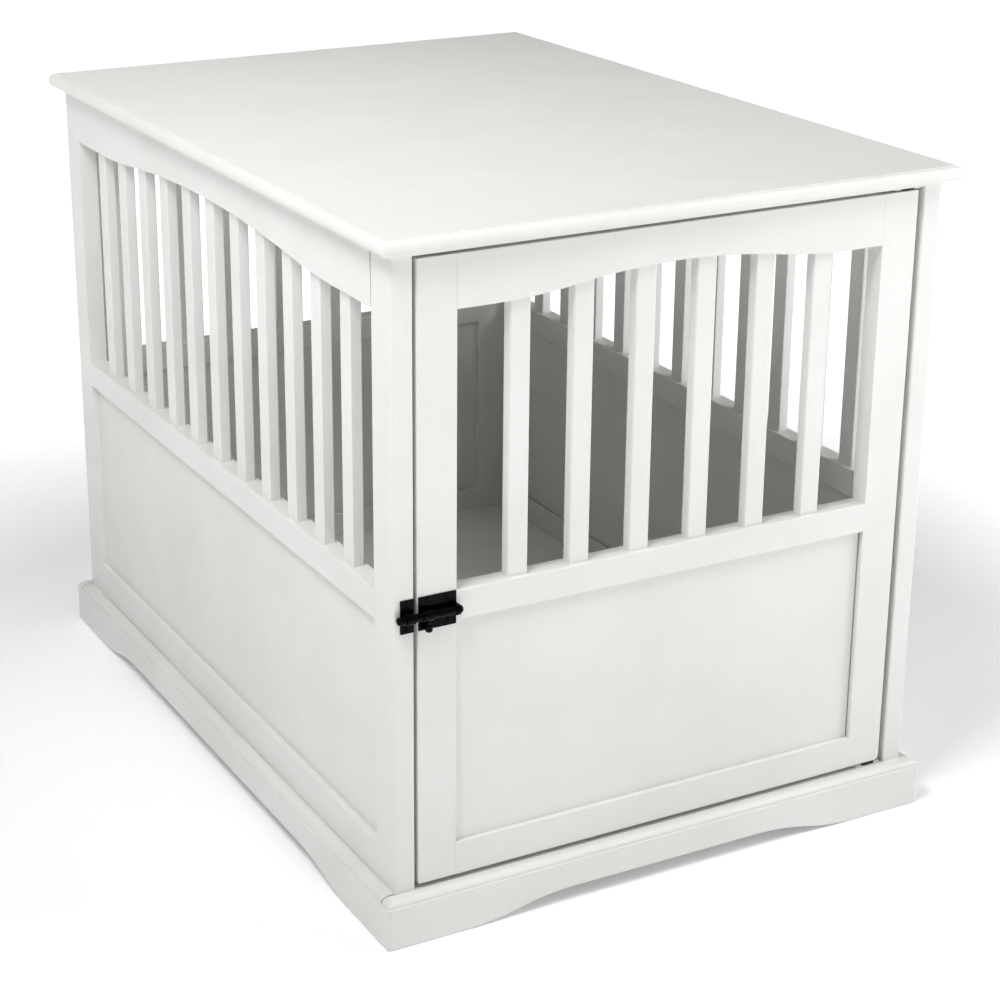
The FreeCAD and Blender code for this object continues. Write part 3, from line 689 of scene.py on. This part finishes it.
class CRATE_OT_plinth(bpy.types.Operator):
    """Plinth of four boards with a moulded shoulder and shaped feet; the cross boards lap the side boards"""
    bl_idname = "crate.plinth"
    bl_label = "Plinth"

    def execute(self, context):
        timber = context.scene.crate_timber
        low, high = box("base_front")
        height, thick = high[2], high[1] - low[1]
        wide, deep = TOP_HIGH[:2]
        lap = round(deep - box("base_left")[1][1])
        joint = timber.plinth_joint / MM
        corner = timber.plinth_corner / MM

        # Side boards, square at both ends; up to the ledge the paint has filled the open joint.
        u = plinth_stations(deep, deep - lap - joint)
        flat = along(u, plinth_rings(plinth_section(height, thick), plinth_lift(u, deep), thick))
        filled = np.where(flat[..., 2] < PLINTH_FACE + 0.1, joint - 0.05, 0.0)
        flat[0, :, 0] -= filled[0]
        flat[-1, :, 0] += filled[-1]
        for name, turns, x in (("right", 1, wide), ("left", 3, -wide)):
            piece(f"plinth_{name}_moulded", [stand_up(tube(flat), Stand(turns, x, 0))], "frame",
                  "satin_enamel_on_pine_deep", f"base_{name}")

        # Cross boards: a lip as thick as the lap, which turns round both corners in an arc, ...
        lip = plinth_section(height, lap)
        u = plinth_stations(wide, wide - max(corner, lap) - 1.0)
        front = along(u, plinth_rings(lip, plinth_lift(u, wide), lap))
        v, z = plinth_rings(lip, np.zeros(1), lap)[0].T
        turn = np.linspace(0, 1, 9)[:, None] * math.pi / 2
        centre = np.maximum(v, corner)
        radius = np.maximum(corner - v, LEAST_RADIUS)
        arc_u = wide - centre + radius * np.sin(turn)
        arc_v = centre - radius * np.cos(turn)
        arc = np.stack([arc_u, arc_v, np.broadcast_to(z, arc_u.shape)], 2)
        back = np.stack([wide - v, np.full_like(v, lap), z], 1)[None]
        right_end = np.concatenate([arc, back])
        left_end = right_end[::-1] * np.array([-1.0, 1.0, 1.0])
        flat = np.concatenate([left_end, front, right_end])

        # ... and a plain backing board behind it, between the side boards.
        behind = plinth_stations(wide, wide - thick - BACKING_SLACK)
        low_edge = plinth_lift(behind, wide) + BACKING_SLACK
        near, far, top = lap + 0.15, thick, height - 0.05
        rings = np.array([[(near, z), (near, top), (far, top), (far, z)] for z in low_edge])
        backing = along(behind, rings)
        for name, turns, y in (("front", 0, -deep), ("back", 2, deep)):
            stand = Stand(turns, 0, y)
            piece(f"plinth_{name}_moulded", [stand_up(tube(flat), stand), stand_up(tube(backing), stand)],
                  "frame", "satin_enamel_on_pine_wide", f"base_{name}")
        return {"FINISHED"}


class CRATE_OT_side_frames(bpy.types.Operator):
    """Left and right slatted frames with the corner posts"""
    bl_idname = "crate.side_frames"
    bl_label = "Side frames"

    def execute(self, context):
        timber = context.scene.crate_timber
        left = Stand(3, box("left_front_stile")[0][0], 0)
        right = Stand(1, box("right_front_stile")[1][0], 0)
        rest = ("frame", SIDE_SLATS, SIDE_ARCH, timber, True)
        slatted_frame("left", ("rear_stile", "front_stile"), left, *rest)
        slatted_frame("right", ("front_stile", "rear_stile"), right, *rest)
        return {"FINISHED"}


class CRATE_OT_back_frame(bpy.types.Operator):
    """Slatted frame between the side frames at the back"""
    bl_idname = "crate.back_frame"
    bl_label = "Back frame"

    def execute(self, context):
        stand = Stand(2, 0, box("back_left_stile")[1][1])
        slatted_frame("back", ("right_stile", "left_stile"), stand, "frame", FRONT_SLATS, FRONT_ARCH,
                      context.scene.crate_timber, False)
        return {"FINISHED"}


class CRATE_OT_door(bpy.types.Operator):
    """Slatted door"""
    bl_idname = "crate.door"
    bl_label = "Door"

    def execute(self, context):
        left, right = box("door_left_stile"), box("door_right_stile")
        stand = Stand(0, (left[0][0] + right[1][0]) / 2, left[0][1])
        slatted_frame("door", ("left_stile", "right_stile"), stand, "door", FRONT_SLATS, FRONT_ARCH,
                      context.scene.crate_timber, False)
        return {"FINISHED"}


class CRATE_OT_inside(bpy.types.Operator):
    """Floor, cleats, stop and tenons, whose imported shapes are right"""
    bl_idname = "crate.inside"
    bl_label = "Floor and cleats"

    def execute(self, context):
        refinish(("floor_cleat_front", "floor_cleat_back", "floor_batten", "top_cleat_back", "door_stop"),
                 "satin_enamel_on_pine_wide")
        refinish(("floor_cleat_left", "floor_cleat_right", "top_cleat_left", "top_cleat_right"),
                 "satin_enamel_on_pine_deep")
        refinish(("floor_panel",), "satin_paint_on_fibreboard")
        refinish(("loose_tenons",), "planed_beech")
        return {"FINISHED"}


class CRATE_OT_pivots(bpy.types.Operator):
    """Pivot pins, bushes and washer"""
    bl_idname = "crate.pivots"
    bl_label = "Pivots"

    def execute(self, context):
        refinish(("lower_pivot", "upper_pivot"), "satin_enamel_on_steel")
        refinish(("pivot_bushes", "pivot_washer"), "moulded_black_nylon")
        return {"FINISHED"}


def strap(x0, x1, axis, face, bore, wall):
    """A bent strap over the bolt: legs into the plate, and a half-round crown about the bolt's axis."""
    t = np.linspace(-math.pi / 2, math.pi / 2, 19)
    y, z = -axis[0], axis[1]
    sink, soft = 0.3, 0.3
    foot, outer = sink - face, bore + wall
    crown = np.stack([y + outer * np.cos(t), z + outer * np.sin(t)], 1)
    hollow = np.stack([y + bore * np.cos(t[::-1]), z + bore * np.sin(t[::-1])], 1)
    corners = np.concatenate([[[foot, z - outer]], crown, [[foot, z + outer], [foot, z + bore]], hollow,
                              [[foot, z - bore]]])
    solid = board(corners, x0, x1, soft, radii=np.full(len(corners), 0.35), support=0.08)
    return placed(solid, [1, 0, 2], (1, -1, 1), (0, 0, 0))


def pressed_plate(u0, u1, z0, z1, head, face):
    """A thin plate with its corners and edges just broken."""
    return board(rectangle(u0, u1, z0, z1), head, face, 0.25, radii=np.full(4, 0.8), support=0.1)


def screw_heads(spots, face):
    """Low domed heads with a dimple in the middle, each on a short shank."""
    t = np.linspace(0, math.pi / 2, 6)
    length, shank, rim, dimple = 3.0, 1.4, 2.7, 1.1
    edge, crown, sink = 0.25, 0.9, 0.05
    dome = np.stack([edge + (crown - edge) * np.sin(t), dimple + (rim - dimple) * np.cos(t)], 1)
    profile = np.concatenate([[[-length, NEAR_AXIS], [-length, shank], [-sink, shank], [-sink, rim]], dome,
                              [[0.88, 0.9], [0.45, 0.7], [0.4, NEAR_AXIS]]])
    return [placed(turned(profile, 20), [1, 0, 2], (1, -1, 1), (x, face, z)) for x, z in spots]


class CRATE_OT_bolt(bpy.types.Operator):
    """Barrel bolt on the door and its keeper on the post"""
    bl_idname = "crate.bolt"
    bl_label = "Barrel bolt"

    def execute(self, context):
        coat = "black_powder_coated_steel"
        rod_low, rod_high = box("bolt_rod")
        axis = (rod_low + rod_high)[1:] / 2
        radius = (rod_high - rod_low)[2] / 2
        door_edge, face = box("door_left_stile")[0][:2]
        post_edge = box("left_front_stile")[1][0]
        plate, keeper = box("bolt_plate"), box("bolt_keeper")
        sheet, screw_row = 1.2, 12.5
        head = face - sheet
        rows = (axis[1] - screw_row, axis[1] + screw_row)

        # The plate with its two straps, held by four screws.
        x0, x1 = plate[0][0], plate[1][0]
        strap_width, screw_in = 4.0, 9.0
        shape = pressed_plate(door_edge + 0.3, x1, plate[0][2], plate[1][2], head, face)
        loops = [strap(x, x + strap_width, axis, face, radius + 0.06, sheet) for x in (x0, x1 - strap_width)]
        piece("bolt_plate_pressed", [shape, *loops], "door", coat, "bolt_plate")
        spots = [(x, z) for x in (x0 + screw_in, x1 - screw_in) for z in rows]
        piece("latch_screws_domed", screw_heads(spots, head), "door", coat, "latch_screws")

        # The keeper with one wider loop.
        shape = pressed_plate(keeper[0][0], post_edge - 0.2, keeper[0][2], keeper[1][2], head, face)
        middle, half_loop = (keeper[0][0] + keeper[1][0]) / 2, 4.5
        loop = strap(middle - half_loop, middle + half_loop, axis, face, radius + 0.3, sheet)
        piece("bolt_keeper_pressed", [shape, loop], "frame", coat, "bolt_keeper")
        piece("keeper_screws_domed", screw_heads([(middle, z) for z in rows], head), "frame", coat,
              "keeper_screws")

        rod_end = 2.8
        profile = np.concatenate([round_end(rod_low[0], 1, radius, rod_end),
                                  round_end(rod_high[0], -1, radius, rod_end)])
        bolt = placed(turned(profile, 40), [0, 1, 2], (1, 1, 1), (0, *axis))
        piece("bolt_rod_rounded", [bolt], "bolt", coat, "bolt_rod")

        # The knob: a collar round the rod, and a stem that swells to a domed grip at its lower end.
        knob_low, knob_high = box("bolt_knob")
        ring_r = knob_high[2] - axis[1]
        section = outline(rectangle(knob_low[0], knob_high[0], radius + 0.05, ring_r), np.zeros(4),
                          np.array([0.2, 0.2, 0.9, 0.9]), 4, 0.1)
        end = axis[1] - knob_low[2]
        grip = min((knob_high - knob_low)[1] / 2, 3.6)
        stem, seat, swell, round_off, grip_length = 1.9, 0.3, 1.4, 2.6, 7.2
        t = np.linspace(0, math.pi / 2, 8)
        neck = np.stack([end - grip_length + swell * (1 - np.cos(t)), grip - swell + swell * np.sin(t)], 1)
        dome = np.stack([end - round_off + round_off * np.sin(t),
                         grip - round_off + round_off * np.cos(t)], 1)
        profile = np.concatenate([[[radius + seat, NEAR_AXIS], [radius + seat, stem],
                                   [end - grip_length - 0.2, stem]], neck, dome,
                                  [[end, 0.3], [end, NEAR_AXIS]]])
        middle = (knob_low[0] + knob_high[0]) / 2
        piece("bolt_knob_turned", [placed(collar(section), [0, 1, 2], (1, 1, 1), (0, *axis)),
                                   placed(turned(profile, 28), [1, 2, 0], (1, 1, -1), (middle, *axis))],
              "knob", coat, "bolt_knob")
        return {"FINISHED"}


class CRATE_OT_stage(bpy.types.Operator):
    """Camera, pale floor and soft light"""
    bl_idname = "crate.stage"
    bl_label = "Stage"

    def execute(self, context):
        stage = context.scene.crate_stage
        scene = context.scene
        lens = bpy.data.cameras.new("camera")
        camera = bpy.data.objects.new("camera", lens)
        scene.collection.objects.link(camera)
        heading, dip = stage.camera_heading, stage.camera_dip
        ahead = Vector((math.cos(dip) * math.sin(heading), math.cos(dip) * math.cos(heading), -math.sin(dip)))
        camera.location = stage.camera_place
        camera.rotation_euler = ahead.to_track_quat("-Z", "Y").to_euler()
        lens.lens = stage.lens
        lens.sensor_width = 36.0
        lens.shift_x, lens.shift_y = stage.shift, -stage.shift
        lens.clip_end = 200.0
        scene.camera = camera
        scene.view_settings.view_transform = "Standard"

        tree, shader = new_material("pale_floor", **{"Base Color": linear(stage.floor_colour),
                                                     "Roughness": 0.9, "Emission Color": (1.0, 1.0, 1.0, 1.0)})
        # lit on its own away from the crate, as the sweep of a studio is: from 0.7 m out to 1.5 m it comes up
        place = add(tree, "ShaderNodeTexCoord").outputs["Object"]
        away = add(tree, "ShaderNodeVectorMath", {0: place}, operation="LENGTH")
        glow = band(tree, away.outputs["Value"], 0.7, 1.5, 0.1, stage.floor_glow)
        tree.links.new(glow.outputs[0], shader.inputs["Emission Strength"])
        mesh = bpy.data.meshes.new("studio_floor")
        # just below the feet, so that the two faces don't meet
        reach, level = 60.0, -0.0005
        mesh.from_pydata([(-reach, -reach, level), (reach, -reach, level), (reach, reach, level),
                          (-reach, reach, level)], [], [(0, 1, 2, 3)])
        ground = bpy.data.objects.new("studio_floor", mesh)
        scene.collection.objects.link(ground)
        mesh.materials.append(bpy.data.materials["pale_floor"])

        aim = Vector((0, 0, 0.3))
        for name, power, size, place in (("right_light", stage.right_box, 0.7, (1.3, -1.2, 1.9)),
                                         ("low_right_light", stage.low_box, 0.7, (2.0, -1.2, 0.7)),
                                         ("left_light", stage.left_box, 0.7, (-1.1, -0.8, 2.0)),
                                         ("crown_light", stage.crown, 0.8, (-0.35, 0.3, 1.7))):
            lamp = bpy.data.lights.new(name, "AREA")
            lamp.energy, lamp.size = power, size
            light = bpy.data.objects.new(name, lamp)
            light.location = place
            light.rotation_euler = (aim - Vector(place)).to_track_quat("-Z", "Y").to_euler()
            scene.collection.objects.link(light)
        world = bpy.data.worlds.new("white_room")
        world.use_nodes = True
        backdrop = world.node_tree.nodes["Background"]
        backdrop.inputs["Color"].default_value = (1, 1, 1, 1)
        # the wall behind the sweep is bright at the foot and falls off into the room light overhead
        sight = add(world.node_tree, "ShaderNodeTexCoord").outputs["Generated"]
        split = add(world.node_tree, "ShaderNodeSeparateXYZ", {0: sight})
        wall = band(world.node_tree, split.outputs["Z"], 0.05, 0.12, 1.0, stage.sky)
        world.node_tree.links.new(wall.outputs[0], backdrop.inputs["Strength"])
        scene.world = world
        return {"FINISHED"}


OPERATORS = (CRATE_OT_materials, CRATE_OT_table_top, CRATE_OT_plinth, CRATE_OT_side_frames,
             CRATE_OT_back_frame, CRATE_OT_door, CRATE_OT_inside, CRATE_OT_pivots, CRATE_OT_bolt,
             CRATE_OT_stage)
GROUPS = {"crate_timber": CRATE_PG_timber, "crate_finish": CRATE_PG_finish, "crate_stage": CRATE_PG_stage}


class CRATE_PT_sidebar(bpy.types.Panel):
    """Lists the steps and the settings"""
    bl_idname = "CRATE_PT_sidebar"
    bl_label = "Dog crate end table"
    bl_space_type = "VIEW_3D"
    bl_region_type = "UI"
    bl_category = "Crate"

    def draw(self, context):
        """A button for each step, then a box for each group of settings."""
        for operator in OPERATORS:
            self.layout.operator(operator.bl_idname)
        for group in GROUPS:
            column = self.layout.box().column()
            settings = getattr(context.scene, group)
            for name in settings.bl_rna.properties.keys():
                if name not in ("rna_type", "name"):
                    column.prop(settings, name)


def register():
    """Registers the classes and hangs the settings on the scene."""
    for kind in (*GROUPS.values(), *OPERATORS, CRATE_PT_sidebar):
        bpy.utils.register_class(kind)
    for name, kind in GROUPS.items():
        setattr(bpy.types.Scene, name, PointerProperty(type=kind))


def unregister():
    """Takes the settings and the classes away again."""
    for name in GROUPS:
        delattr(bpy.types.Scene, name)
    for kind in reversed((*GROUPS.values(), *OPERATORS, CRATE_PT_sidebar)):
        bpy.utils.unregister_class(kind)


def main():
    """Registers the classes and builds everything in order."""
    register()
    for operator in OPERATORS:
        family, name = operator.bl_idname.split(".")
        getattr(getattr(bpy.ops, family), name)()
    bpy.context.view_layer.update()


if __name__ == "__main__":
    main()
